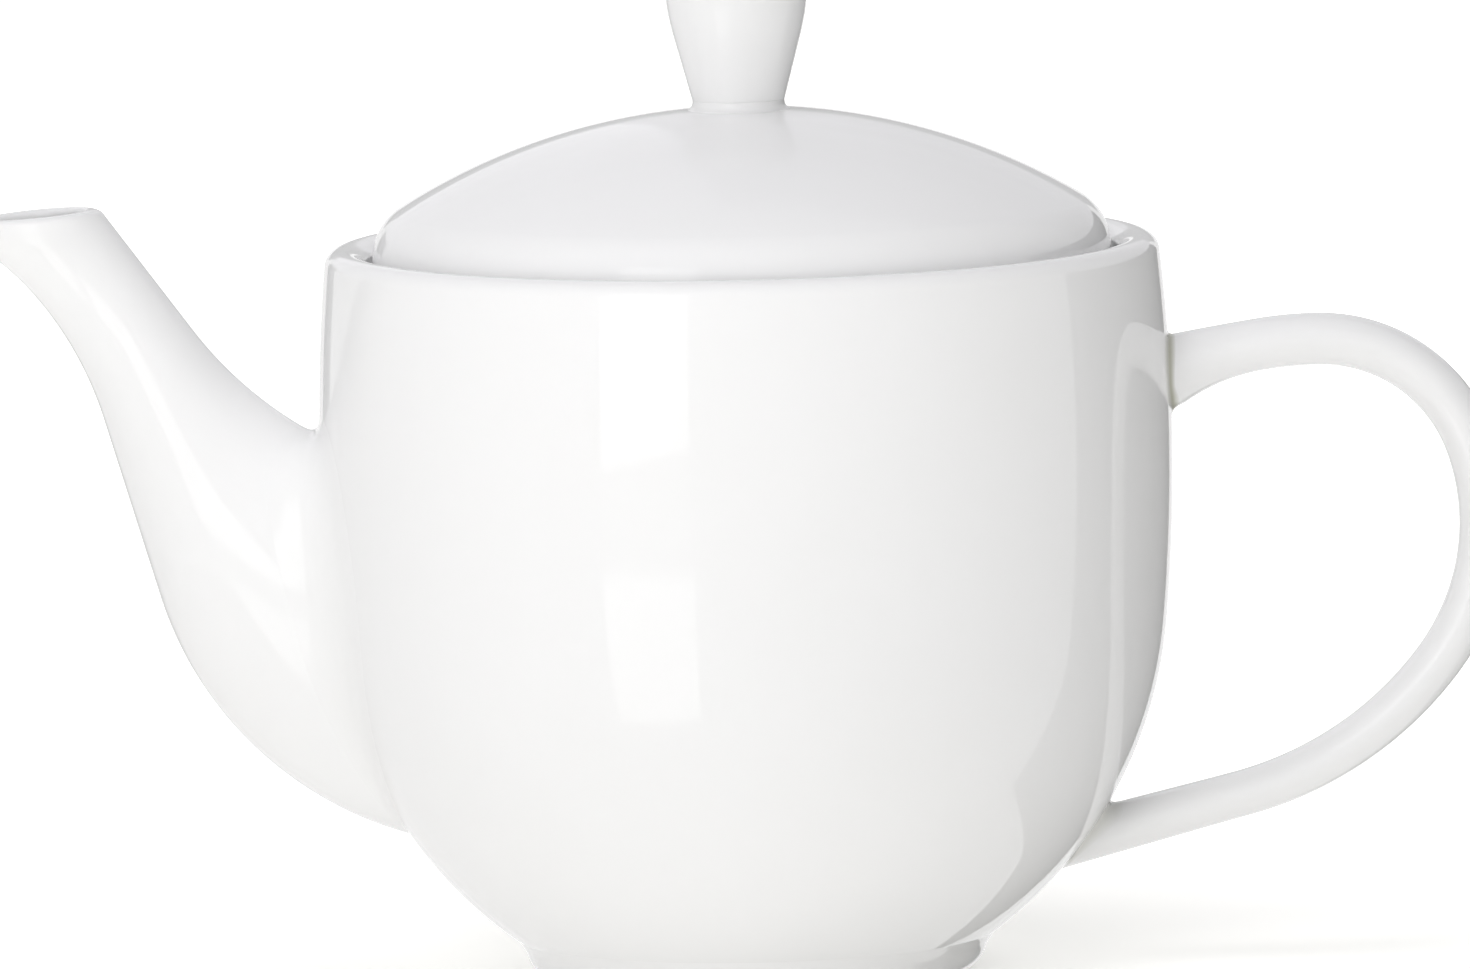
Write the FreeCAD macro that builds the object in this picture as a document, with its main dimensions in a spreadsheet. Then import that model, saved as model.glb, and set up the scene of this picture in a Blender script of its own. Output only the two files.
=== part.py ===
import FreeCAD, Part
import math
import os
import re
import Sketcher

# A glazed porcelain teapot: a barrel-sided bowl on a low foot, with a spout, an ear handle and a domed lid.
# Frame: origin on the pot's axis at table level, +Z up, spout towards -X, handle towards +X.
# Lengths are in millimetres and angles in degrees.
SIZES = {
    # Bowl: an upright wall bowed on one large radius, running into a rounded bowl
    "pot_radius": 68.2,
    "pot_height": 117.2,
    "widest_height": 85.1,
    "wall_bow_radius": 302.0,
    "bowl_top_height": 55.3,
    "bowl_radius": 69.7,
    "wall": 3.4,
    "floor_thickness": 3.6,
    # Rim: rolled lip, with a ledge inside it that carries the lid
    "rim_round": 2.8,
    "rim_roll_width": 4.0,
    "rim_drop": 1.9,
    "ledge_depth": 4.6,
    "ledge_width": 4.4,
    "ledge_thickness": 4.0,
    "neck_slope_height": 8.0,
    # Strainer: holes through the wall behind the spout
    "strainer_hole": 5.0,
    "strainer_pitch": 8.5,
    "strainer_height": 54.0,
    # Foot ring
    "foot_height": 5.2,
    "foot_outer_round": 6.0,
    "foot_taper": 2.8,
    "foot_tread": 2.0,
    "foot_width": 5.6,
    # Lid: a spherical crown that turns down into a rounded edge
    "lid_gap": 0.9,
    "lid_rise": 21.5,
    "lid_shoulder_radius": 9.3,
    "lid_edge_height": 2.9,
    "lid_edge_round": 2.0,
    "lid_thickness": 4.0,
    "vent_hole": 3.2,
    "vent_offset": 24.0,
    # Collar under the lid, which drops into the neck
    "collar_gap": 0.8,
    "collar_thickness": 3.0,
    "collar_depth": 9.0,
    # Knob
    "knob_base_radius": 7.0,
    "knob_radius": 11.4,
    "knob_cone_angle": 15.0,
    "knob_side_radius": 30.0,
    "knob_corner_round": 4.2,
    "knob_cap_radius": 21.0,
    "knob_seam_width": 2.0,
    "knob_seam_height": 2.6,
    "knob_seam_round": 2.4,
    # Handle: an oval bar bent along tangent arcs, from the upper root over the top to the lower root
    "handle_top_reach": 23.5,
    "handle_top_height": 99.5,
    "handle_arm_radius": 57.4,
    "handle_arm_turn": 24.4,
    "handle_flare_turn": 10.0,
    "handle_shoulder_radius": 25.5,
    "handle_shoulder_turn": 71.6,
    "handle_back_radius": 37.4,
    "handle_back_turn": 55.9,
    "handle_tail_radius": 57.6,
    "handle_tail_turn": 38.4,
    "handle_tail_length": 50.0,
    "handle_bury": 14.0,
    "handle_thickness": 7.7,
    "handle_width": 11.2,
    "handle_root_thickness": 11.2,
    "handle_root_width": 13.6,
    "handle_tail_thickness": 9.4,
    "handle_tail_width": 13.4,
    "handle_seam_round": 2.0,
    # Spout: oval sections between a bulging lower line and a hollow upper line
    "spout_low_inset": 13.7,
    "spout_low_height": 22.9,
    "spout_belly_start": 15.6,
    "spout_belly_radius": 57.4,
    "spout_belly_turn": 58.2,
    "spout_lip_radius": 56.0,
    "spout_lip_turn": 22.6,
    "spout_lip_drop": 14.0,
    "spout_back_inset": 0.7,
    "spout_back_height": 87.0,
    "spout_back_start": 28.4,
    "spout_back_radius": 61.4,
    "spout_back_turn": 25.4,
    "spout_back_drop": 1.6,
    "spout_mouth_height": 124.4,
    "spout_mouth_roll": 2.6,
    "spout_mouth_length": 19.0,
    "spout_root_width": 36.0,
    "spout_tip_width": 16.6,
    "spout_wall": 2.8,
    "spout_lip_round": 1.1,
    "spout_bury": 14.0,
    "spout_seam_round": 5.0,
}

doc = FreeCAD.newDocument("Teapot")
sheet = doc.addObject("Spreadsheet::Sheet", "Sizes")
for row, (alias, size) in enumerate(SIZES.items(), start=1):
    sheet.set(f"A{row}", str(size))
    sheet.setAlias(f"A{row}", alias)
doc.recompute()


def bound(formula):
    """The formula with every size in it tied to its cell of the sheet."""
    return re.sub(r"[a-z_]+", lambda word: f"Sizes.{word[0]}" if word[0] in SIZES else word[0], formula)


def value(formula):
    """The formula's value with the sheet's present sizes."""
    result = sheet.evalExpression(bound(formula))
    return float(getattr(result, "Value", result))


def tie(sketch, constraint, formula):
    """Add a constraint and bind its size to the formula."""
    index = sketch.addConstraint(constraint)
    sketch.setExpression(f"Constraints[{index}]", bound(formula))


def new_body(name):
    return doc.addObject("PartDesign::Body", name)


def new_sketch(body, name, plane):
    sketch = body.newObject("Sketcher::SketchObject", name)
    support = next(feature for feature in body.Origin.OriginFeatures if feature.Role == plane)
    sketch.AttachmentSupport = [(support, "")]
    sketch.MapMode = "FlatFace"
    return sketch


LEFT = "left"
RIGHT = "right"


def arc_between(start, end, radius, turn):
    """Arc of under a half circle from start to end that turns left or right."""
    chord = end - start
    middle = (start + end) * 0.5
    left = FreeCAD.Vector(-chord.y, chord.x, 0).normalize()
    aside = math.sqrt(radius**2 - (chord.Length / 2) ** 2)
    centre = middle + left * (aside if turn == LEFT else -aside)
    first, last = (start, end) if turn == LEFT else (end, start)
    angles = [math.atan2(point.y - centre.y, point.x - centre.x) for point in (first, last)]
    if angles[1] < angles[0]:
        angles[1] += 2 * math.pi
    circle = Part.Circle(centre, FreeCAD.Vector(0, 0, 1), radius)
    return Part.ArcOfCircle(circle, *angles)


def place(sketch, side, vertex, corner, point):
    """Hold one point of a side at its corner's formulas. A nought is held on the axis itself."""
    across_axis, up_axis = -1, -2
    for kind, axis, formula, size in (
        ("DistanceX", up_axis, corner[0], point.x),
        ("DistanceY", across_axis, corner[1], point.y),
    ):
        if formula == "0":
            sketch.addConstraint(Sketcher.Constraint("PointOnObject", side, vertex, axis))
        else:
            tie(sketch, Sketcher.Constraint(kind, side, vertex, size), formula)


def draw(sketch, corners):
    """Draw a closed outline. A corner is (across, up), and an arc from it adds (turn, radius)."""
    forwards, backwards = (1, 2), (2, 1)
    points = [FreeCAD.Vector(value(corner[0]), value(corner[1]), 0) for corner in corners]
    ends = []
    for side, corner in enumerate(corners):
        start, end = points[side], points[(side + 1) % len(points)]
        if len(corner) == 2:
            sketch.addGeometry(Part.LineSegment(start, end))
            ends.append(forwards)
            continue
        turn, radius = corner[2:]
        sketch.addGeometry(arc_between(start, end, value(radius), turn))
        ends.append(forwards if turn == LEFT else backwards)
        tie(sketch, Sketcher.Constraint("Radius", side, value(radius)), radius)
    for side, (first, last) in enumerate(ends):
        following = (side + 1) % len(ends)
        sketch.addConstraint(Sketcher.Constraint("Coincident", side, last, following, ends[following][0]))
        place(sketch, side, first, corners[side], points[side])


def draw_hole(sketch, across, up, diameter):
    """Draw a circle about a point."""
    its_centre = 3
    centre = FreeCAD.Vector(value(across), value(up), 0)
    circle = Part.Circle(centre, FreeCAD.Vector(0, 0, 1), value(diameter) / 2)
    hole = sketch.addGeometry(circle)
    place(sketch, hole, its_centre, (across, up), centre)
    tie(sketch, Sketcher.Constraint("Diameter", hole, value(diameter)), diameter)


def turned(name, corners):
    """A body turned about the pot's axis from its half section."""
    body = new_body(name)
    sketch = new_sketch(body, f"{name}_section", "YZ_Plane")
    draw(sketch, corners)
    revolution = body.newObject("PartDesign::Revolution", f"{name}_turning")
    revolution.Profile = sketch
    revolution.ReferenceAxis = (sketch, ["V_Axis"])
    revolution.Angle = 360
    return body


def out_to_arc(centre_across, centre_up, radius, up):
    """Formula of the distance from the axis to an arc, at a height."""
    return f"({centre_across} + sqrt(({radius})^2 - ({up} - ({centre_up}))^2))"


# Bowl: the bowed wall's centre and the rounded bowl's centre, on one line through the point where they meet
wall_across = "(pot_radius - wall_bow_radius)"
bow_rise = "((widest_height - bowl_top_height) / wall_bow_radius)"
bow_reach = f"sqrt(1 - {bow_rise}^2)"
bowl_across = f"({wall_across} + (wall_bow_radius - bowl_radius) * {bow_reach})"
bowl_up = f"(widest_height - (wall_bow_radius - bowl_radius) * {bow_rise})"
wall_foot = (f"({wall_across} + wall_bow_radius * {bow_reach})", "bowl_top_height")
inner_wall_foot = (
    f"({wall_across} + (wall_bow_radius - wall) * {bow_reach})",
    f"(widest_height - (wall_bow_radius - wall) * {bow_rise})",
)
foot_edge = out_to_arc(bowl_across, bowl_up, "bowl_radius", "foot_height")
rim_start = "(pot_height - rim_round)"
rim_edge = out_to_arc(wall_across, "widest_height", "wall_bow_radius", rim_start)
rim_crest = f"({rim_edge} - rim_round)"
ledge_height = "(pot_height - ledge_depth)"
gallery_radius = f"({rim_crest} - rim_roll_width)"
neck_radius = f"({gallery_radius} - ledge_width)"
neck_base = f"({ledge_height} - ledge_thickness)"
inner_top = f"({neck_base} - neck_slope_height)"
floor_height = "(foot_height + floor_thickness)"
roll_radius = "((rim_roll_width^2 + rim_drop^2) / (2 * rim_drop))"
outer_side = [
    ("0", "foot_height"),
    (foot_edge, "foot_height", LEFT, "bowl_radius"),
    (*wall_foot, LEFT, "wall_bow_radius"),
    (rim_edge, rim_start, LEFT, "rim_round"),
]
pot_bowl = turned(
    "pot_bowl",
    outer_side
    + [
        (rim_crest, "pot_height", LEFT, roll_radius),
        (gallery_radius, "(pot_height - rim_drop)"),
        (gallery_radius, ledge_height),
        (neck_radius, ledge_height),
        (neck_radius, neck_base),
        (out_to_arc(wall_across, "widest_height", "wall_bow_radius - wall", inner_top), inner_top,
         RIGHT, "(wall_bow_radius - wall)"),
        (*inner_wall_foot, RIGHT, "(bowl_radius - wall)"),
        (out_to_arc(bowl_across, bowl_up, "bowl_radius - wall", floor_height), floor_height),
        ("0", floor_height),
    ],
)
# The bowl's outer shape, filled in: what is luted to the bowl is cut back to it
envelope = turned("bowl_envelope", outer_side + [(rim_crest, "pot_height"), ("0", "pot_height")])

# Strainer: rows of two and three holes by turns, on an even triangular pitch, pierced towards the spout
STRAINER_ROWS = 7
holes = new_sketch(pot_bowl, "strainer_holes", "YZ_Plane")
for row in range(-(STRAINER_ROWS // 2), STRAINER_ROWS // 2 + 1):
    for step in (-1, 0, 1) if row % 2 == 0 else (-0.5, 0.5):
        side = f"{step} * strainer_pitch" if step else "0"
        up = f"(strainer_height + {row} * strainer_pitch * sqrt(3) / 2)"
        draw_hole(holes, side, up, "strainer_hole")
strainer = pot_bowl.newObject("PartDesign::Pocket", "strainer")
strainer.Profile = holes
strainer.Type = "ThroughAll"

# Foot ring: its flat top is luted to the bowl's flat underside, and its tread stands on the table
tread_edge = f"({foot_edge} - foot_taper)"
foot_ring = turned(
    "foot_ring",
    [
        (f"({tread_edge} - foot_tread)", "0"),
        (tread_edge, "0", LEFT, "foot_outer_round"),
        (foot_edge, "foot_height"),
        (f"({foot_edge} - foot_width)", "foot_height"),
    ],
)

# Lid: a crown centred on the axis, and a shoulder arc that touches both the crown and the upright edge
lid_radius = f"({gallery_radius} - lid_gap)"
crown_top = "(pot_height + lid_rise)"
edge_top = f"({ledge_height} + lid_edge_height)"
crown_rise = f"({crown_top} - {edge_top})"
shoulder_across = f"({lid_radius} - lid_shoulder_radius)"
crown_reach = f"({shoulder_across}^2 + {crown_rise}^2 - lid_shoulder_radius^2)"
crown_radius = f"({crown_reach} / (2 * ({crown_rise} - lid_shoulder_radius)))"
crown_up = f"({crown_top} - {crown_radius})"
shoulder_share = f"({crown_radius} / ({crown_radius} - lid_shoulder_radius))"
underside_radius = f"({crown_radius} - lid_thickness)"


def crown_height(across):
    """Formula of the crown's height at a distance from the axis."""
    return f"({crown_up} + sqrt({crown_radius}^2 - {across}^2))"


def underside_height(across):
    """Formula of the height of the crown's underside at a distance from the axis."""
    return f"({crown_up} + sqrt({underside_radius}^2 - {across}^2))"


collar_radius = f"({neck_radius} - collar_gap)"
collar_inner = f"({collar_radius} - collar_thickness)"
collar_base = f"({ledge_height} - collar_depth)"
lid_dome = turned(
    "lid_dome",
    [
        (collar_radius, ledge_height),
        (f"({lid_radius} - lid_edge_round)", ledge_height, LEFT, "lid_edge_round"),
        (lid_radius, f"({ledge_height} + lid_edge_round)"),
        (lid_radius, edge_top, LEFT, "lid_shoulder_radius"),
        (f"({shoulder_across} * {shoulder_share})",
         f"({crown_up} + ({edge_top} - {crown_up}) * {shoulder_share})", LEFT, crown_radius),
        ("0", crown_top),
        ("0", f"({crown_top} - lid_thickness)", RIGHT, underside_radius),
        (collar_radius, underside_height(collar_radius)),
    ],
)
vent_place = new_sketch(lid_dome, "vent_place", "XY_Plane")
draw_hole(vent_place, "0", "vent_offset", "vent_hole")
vent = lid_dome.newObject("PartDesign::Pocket", "vent")
vent.Profile = vent_place
vent.Type = "ThroughAll"
vent.Reversed = True

# Collar: a plain ring luted to the crown's underside
lid_collar = turned(
    "lid_collar",
    [
        (collar_inner, collar_base),
        (collar_radius, collar_base),
        (collar_radius, underside_height(collar_radius), LEFT, underside_radius),
        (collar_inner, underside_height(collar_inner)),
    ],
)

# Knob: a cone that eases upright at its widest, with a rounded corner and a low cap
knob_base = crown_height("knob_base_radius")
cone_top = "(knob_radius - knob_side_radius * (1 - cos(knob_cone_angle)))"
cone_top_up = f"({knob_base} + ({cone_top} - knob_base_radius) / tan(knob_cone_angle))"
knob_widest_up = f"({cone_top_up} + knob_side_radius * sin(knob_cone_angle))"
corner_across = "(knob_radius - knob_corner_round)"
cap_reach = f"({corner_across} / (knob_cap_radius - knob_corner_round))"
cap_rise = f"sqrt(1 - {cap_reach}^2)"
cap_up = f"({knob_widest_up} - (knob_cap_radius - knob_corner_round) * {cap_rise})"
lid_knob = turned(
    "lid_knob",
    [
        ("0", crown_top, RIGHT, crown_radius),
        ("knob_base_radius", knob_base),
        (cone_top, cone_top_up, LEFT, "knob_side_radius"),
        ("knob_radius", knob_widest_up, LEFT, "knob_corner_round"),
        (f"(knob_cap_radius * {cap_reach})", f"({cap_up} + knob_cap_radius * {cap_rise})",
         LEFT, "knob_cap_radius"),
        ("0", f"({cap_up} + knob_cap_radius)"),
    ],
)
seam_edge = "(knob_base_radius + knob_seam_width)"
seam_top = "(knob_base_radius + knob_seam_height * tan(knob_cone_angle))"
knob_seam = turned(
    "knob_seam",
    [
        ("knob_base_radius", knob_base, RIGHT, crown_radius),
        (seam_edge, crown_height(seam_edge), RIGHT, "knob_seam_round"),
        (seam_top, f"({knob_base} + knob_seam_height)"),
    ],
)


def oval(body, name, across, up, tilt, length, width):
    """Four-centre oval: its length lies in the XZ plane, tilted up from +X, and its width along Y."""
    sketch = new_sketch(body, name, "XY_Plane")
    middle = FreeCAD.Vector(value(across), 0, value(up))
    turn = FreeCAD.Rotation(FreeCAD.Vector(0, 1, 0), value(f"-({tilt})"))
    sketch.AttachmentOffset = FreeCAD.Placement(middle, turn)
    sketch.setExpression("AttachmentOffset.Base.x", bound(across))
    sketch.setExpression("AttachmentOffset.Base.z", bound(up))
    sketch.setExpression("AttachmentOffset.Rotation.Angle", bound(f"-({tilt})"))
    # The arcs meet where their common normal lies at 45 degrees
    slant = "sqrt(0.5)"
    end_radius = f"(((1 + {slant}) * {width} - {slant} * {length}) / 2)"
    side_radius = f"(((1 + {slant}) * {length} - {slant} * {width}) / 2)"
    far = f"({length} / 2 - {end_radius} * (1 - {slant}))"
    aside = f"({end_radius} * {slant})"
    draw(
        sketch,
        [
            (far, f"(-{aside})", LEFT, end_radius),
            (far, aside, LEFT, side_radius),
            (f"(-{far})", aside, LEFT, end_radius),
            (f"(-{far})", f"(-{aside})", LEFT, side_radius),
        ],
    )
    return sketch


# Handle: the line along the middle of the bar, as formulas of how far it has turned from the top
TAIL_STEPS = 3
top_across = "(pot_radius + handle_top_reach)"


def handle_line(centre, radius, turn):
    return f"({centre[0]} + {radius} * sin({turn}))", f"({centre[1]} + {radius} * cos({turn}))"


def next_centre(centre, radius, next_radius, turn):
    """Centre of the arc that carries on from another at a turn."""
    return handle_line(centre, f"({radius} - {next_radius})", turn)


arm_centre = (top_across, "(handle_top_height - handle_arm_radius)")
shoulder_centre = (top_across, "(handle_top_height - handle_shoulder_radius)")
back_from = "handle_shoulder_turn"
tail_from = "(handle_shoulder_turn + handle_back_turn)"
tail_to = "(handle_shoulder_turn + handle_back_turn + handle_tail_turn)"
back_centre = next_centre(shoulder_centre, "handle_shoulder_radius", "handle_back_radius", back_from)
tail_centre = next_centre(back_centre, "handle_back_radius", "handle_tail_radius", tail_from)
arm_root = handle_line(arm_centre, "handle_arm_radius", "(-handle_arm_turn)")
upper_end = (f"({arm_root[0]} - handle_bury * cos(handle_arm_turn))",
             f"({arm_root[1]} - handle_bury * sin(handle_arm_turn))")
flare_end = handle_line(arm_centre, "handle_arm_radius", "(-handle_flare_turn)")
tail_end = handle_line(tail_centre, "handle_tail_radius", tail_to)
handle_bar = new_body("handle_bar")
root_size = ("handle_root_thickness", "handle_root_width")
bar_size = ("handle_thickness", "handle_width")
tail_growth = ("(handle_tail_thickness - handle_thickness)", "(handle_tail_width - handle_width)")
stations = [
    (upper_end, "(-handle_arm_turn)", root_size),
    (arm_root, "(-handle_arm_turn)", root_size),
    (flare_end, "(-handle_flare_turn)", bar_size),
    ((top_across, "handle_top_height"), "0", bar_size),
]
for centre, radius, start, turn, steps in (
    (shoulder_centre, "handle_shoulder_radius", "0", "handle_shoulder_turn", 3),
    (back_centre, "handle_back_radius", back_from, "handle_back_turn", 3),
    (tail_centre, "handle_tail_radius", tail_from, "handle_tail_turn", 2),
):
    for step in range(1, steps + 1):
        turned_so_far = f"({start} + {turn} * {step} / {steps})"
        stations.append((handle_line(centre, radius, turned_so_far), turned_so_far, bar_size))
for step in range(1, TAIL_STEPS + 1):
    share = f"{step} / {TAIL_STEPS}"
    tail_point = (f"({tail_end[0]} + handle_tail_length * {share} * cos({tail_to}))",
                  f"({tail_end[1]} - handle_tail_length * {share} * sin({tail_to}))")
    tail_size = [f"({size} + {growth} * {share})" for size, growth in zip(bar_size, tail_growth)]
    stations.append((tail_point, tail_to, tail_size))
sections = [
    oval(handle_bar, f"handle_section_{number}", *point, f"(90 - {turn})", *size)
    for number, (point, turn, size) in enumerate(stations, start=1)
]
bar = handle_bar.newObject("PartDesign::AdditiveLoft", "handle_loft")
bar.Profile = sections[0]
bar.Sections = sections[1:]


# Spout: its lower and upper lines as formulas, with the distance out from the axis and the height
def line_on(start, heading, length):
    """The point a length along a heading from another point."""
    return f"({start[0]} + {length} * cos({heading}))", f"({start[1]} + {length} * sin({heading}))"


def curve_on(start, heading, radius, turn):
    """The end of an arc that starts along a heading and turns up, or out where turn is negative."""
    after = f"({heading} + {turn})"
    return (f"({start[0]} + {radius} * (sin({after}) - sin({heading})))",
            f"({start[1]} + {radius} * (cos({heading}) - cos({after})))")


low_root = ("(pot_radius - spout_low_inset)", "spout_low_height")
front_heading = "(spout_belly_start + spout_belly_turn)"
belly_middle = curve_on(low_root, "spout_belly_start", "spout_belly_radius", "spout_belly_turn / 2")
belly_end = curve_on(low_root, "spout_belly_start", "spout_belly_radius", "spout_belly_turn")
lip_curve = ("(-spout_lip_radius)", "(-spout_lip_turn)")
lip_height = curve_on(belly_end, front_heading, *lip_curve)[1]
front_rise = f"(spout_mouth_height - spout_lip_drop - {lip_height})"
front_end = line_on(belly_end, front_heading, f"({front_rise} / sin({front_heading}))")
lip_start = curve_on(front_end, front_heading, *lip_curve)
back_root = ("(pot_radius - spout_back_inset)", "spout_back_height")
back_heading = "(spout_back_start + spout_back_turn)"
back_middle = curve_on(back_root, "spout_back_start", "spout_back_radius", "spout_back_turn / 2")
back_end = curve_on(back_root, "spout_back_start", "spout_back_radius", "spout_back_turn")
back_rise = f"(spout_mouth_height - spout_back_drop - {back_end[1]})"
back_length = f"({back_rise} / sin({back_heading}))"
back_tip = line_on(back_end, back_heading, back_length)
mouth_out = f"({back_tip[0]} + spout_mouth_roll)"
low_buried = line_on(low_root, "spout_belly_start", "(-spout_bury)")
back_buried = line_on(back_root, "spout_back_start", "(-spout_bury)")
lines = [
    (low_buried, back_buried),
    (low_root, back_root),
    (belly_middle, back_middle),
    (belly_end, back_end),
    (front_end, line_on(back_end, back_heading, f"({back_length} / 2)")),
    (lip_start, back_tip),
    ((f"({mouth_out} + spout_mouth_length)", "spout_mouth_height"), (mouth_out, "spout_mouth_height")),
]


def span(low, high):
    """Length of the section between a lower and an upper point."""
    return f"sqrt(({low[0]} - {high[0]})^2 + ({low[1]} - {high[1]})^2)"


root_span = span(*lines[1])
tip_span = span(*lines[-2])
spout_tube = new_body("spout_tube")
outer_sections = []
inner_sections = []
for number, (low, high) in enumerate(lines, start=1):
    length = span(low, high)
    share = f"(({length} - {tip_span}) / ({root_span} - {tip_span}))"
    width = f"(spout_tip_width + (spout_root_width - spout_tip_width) * {share})"
    if number == len(lines):
        width = "spout_tip_width"
    across = f"(-({low[0]} + {high[0]}) / 2)"
    up = f"(({low[1]} + {high[1]}) / 2)"
    tilt = f"atan2({high[1]} - {low[1]}; {low[0]} - {high[0]})"
    outer_sections.append(oval(spout_tube, f"spout_section_{number}", across, up, tilt, length, width))
    inner_sections.append(
        oval(spout_tube, f"channel_section_{number}", across, up, tilt,
             f"({length} - 2 * spout_wall)", f"({width} - 2 * spout_wall)")
    )
spout_outside = spout_tube.newObject("PartDesign::AdditiveLoft", "spout_outside")
spout_outside.Profile = outer_sections[0]
spout_outside.Sections = outer_sections[1:]
spout_channel = spout_tube.newObject("PartDesign::SubtractiveLoft", "spout_channel")
spout_channel.Profile = inner_sections[0]
spout_channel.Sections = inner_sections[1:]
doc.recompute()

# The channel's edge is rounded where it opens at the mouth
TOUCHING = 0.001
mouth_up = value("spout_mouth_height")
mouth = next(face for face in spout_channel.Shape.Faces if abs(face.CenterOfMass.z - mouth_up) < TOUCHING)
inner_rim = min(mouth.Wires, key=lambda wire: wire.Length)
lip = spout_tube.newObject("PartDesign::Fillet", "spout_lip")
lip.Base = (
    spout_channel,
    [
        f"Edge{number}"
        for number, edge in enumerate(spout_channel.Shape.Edges, start=1)
        if any(edge.isSame(side) for side in inner_rim.Edges)
    ],
)
lip.setExpression("Radius", bound("spout_lip_round"))


def cut_to_bowl(label, piece):
    """The piece cut back to the bowl's outer face, which its root is luted to."""
    cut = doc.addObject("Part::Cut", label)
    cut.Base = piece
    cut.Tool = envelope
    return cut


handle = cut_to_bowl("handle", handle_bar)
spout = cut_to_bowl("spout", spout_tube)
doc.recompute()


# Seams: slip fills the corner between the bowl and a root to an even round, and is left as a bead
def seams(labels, solid, round_size):
    """Beads round the places where a solid meets the bowl, the highest first."""
    bowl = envelope.Shape
    joined = bowl.fuse(solid)
    corners = []
    for edge in joined.Edges:
        middle = Part.Vertex(edge.valueAt((edge.FirstParameter + edge.LastParameter) / 2))
        if all(min(face.distToShape(middle)[0] for face in one.Faces) < TOUCHING for one in (bowl, solid)):
            corners.append(edge)
    beads = joined.makeFillet(value(round_size), corners).cut(joined, TOUCHING).Solids
    beads.sort(key=lambda bead: -bead.CenterOfMass.z)
    pieces = []
    for label, bead in zip(labels, beads, strict=True):
        piece = doc.addObject("Part::Feature", label)
        piece.Shape = bead
        piece.Placement = FreeCAD.Placement()
        pieces.append(piece)
    return pieces


handle_upper_seam, handle_lower_seam = seams(
    ("handle_upper_seam", "handle_lower_seam"), handle_bar.Shape, "handle_seam_round"
)
(spout_seam,) = seams(("spout_seam",), spout_outside.Shape, "spout_seam_round")

pieces = [
    pot_bowl,
    foot_ring,
    spout,
    spout_seam,
    handle,
    handle_upper_seam,
    handle_lower_seam,
    lid_dome,
    lid_collar,
    lid_knob,
    knob_seam,
]
doc.recompute()
for item in doc.Objects:
    if "Invalid" in item.State or "Error" in item.State:
        raise RuntimeError(f"{item.Label} could not be built")
for piece in pieces:
    if piece.Shape.isNull() or not piece.Shape.isValid() or len(piece.Shape.Solids) != 1:
        raise RuntimeError(f"{piece.Label} is not one sound solid")
os.makedirs("parts", exist_ok=True)
for piece in pieces:
    piece.Shape.exportStep(f"parts/{piece.Label}.step")
    print(f"{piece.Label}: {piece.Shape.Volume / 1000:.2f} cm3")
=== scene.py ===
import math

import bmesh
import bpy
import numpy as np
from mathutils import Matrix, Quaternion, Vector


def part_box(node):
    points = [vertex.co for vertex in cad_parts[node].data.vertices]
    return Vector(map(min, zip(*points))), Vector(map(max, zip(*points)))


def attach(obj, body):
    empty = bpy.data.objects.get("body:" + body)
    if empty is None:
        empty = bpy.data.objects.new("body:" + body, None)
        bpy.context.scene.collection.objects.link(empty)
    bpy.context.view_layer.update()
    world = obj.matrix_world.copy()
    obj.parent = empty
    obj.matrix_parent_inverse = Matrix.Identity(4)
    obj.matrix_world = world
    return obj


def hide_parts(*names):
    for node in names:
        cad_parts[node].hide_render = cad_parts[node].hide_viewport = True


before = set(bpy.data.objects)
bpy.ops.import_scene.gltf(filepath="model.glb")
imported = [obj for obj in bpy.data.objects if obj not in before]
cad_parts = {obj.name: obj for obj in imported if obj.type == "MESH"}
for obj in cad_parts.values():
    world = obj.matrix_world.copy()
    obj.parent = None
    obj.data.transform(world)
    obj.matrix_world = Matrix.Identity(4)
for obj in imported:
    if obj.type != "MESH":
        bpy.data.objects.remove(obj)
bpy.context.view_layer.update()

# Bowl. White porcelain, jiggered in a plaster mould: a barrel wall bowed on one large radius runs
# into a rounded bowl, and a rolled rim has a ledge inside it for the lid. It is dipped in clear
# glaze and fired glossy. Lengths are in millimetres up to the table.
MM = 0.001
pot_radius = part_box("pot_bowl")[1].y / MM
pot_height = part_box("pot_bowl")[1].z / MM
foot_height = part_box("pot_bowl")[0].z / MM
WIDEST_HEIGHT = 85.1
BOW_RADIUS = 302.0
BOWL_TOP_HEIGHT = 55.3
BOWL_RADIUS = 69.7
WALL = 3.4
FLOOR_THICKNESS = 3.6
RIM_ROUND = 2.8
RIM_ROLL_WIDTH = 4.0
RIM_DROP = 1.9
LEDGE_DEPTH = 4.6
LEDGE_WIDTH = 4.4
LEDGE_THICKNESS = 4.0
NECK_SLOPE = 8.0
GLAZE_SOFTNESS = 0.35
SOFTENED_REACH = 4
DRAWN_STEP = 0.04
EVEN_STEP = 0.05
LONGEST_SIDE = 3.0
SHARPEST_TURN = math.radians(5)
STEPS_AROUND = 240
SEAM_CLOSES = 1e-6
HOLE_STEPS = 32
CRISP_EDGE = math.radians(35)
GLAZE_IOR = 1.5
RIPPLE_DEPTH = 0.05
DIMPLE_SCALE, DIMPLE_SHARE = 900.0, 0.012
CLOUD_SCALE, CLOUD_ROUGHNESS, CLOUD_THICKNESS = 22.0, 0.02, 0.10
bow_centre = np.array([pot_radius - BOW_RADIUS, WIDEST_HEIGHT])
bow_lean = math.asin((WIDEST_HEIGHT - BOWL_TOP_HEIGHT) / BOW_RADIUS)
towards_foot = np.array([math.cos(bow_lean), -math.sin(bow_lean)])
wall_foot = bow_centre + BOW_RADIUS * towards_foot
bowl_centre = wall_foot - BOWL_RADIUS * towards_foot


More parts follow.
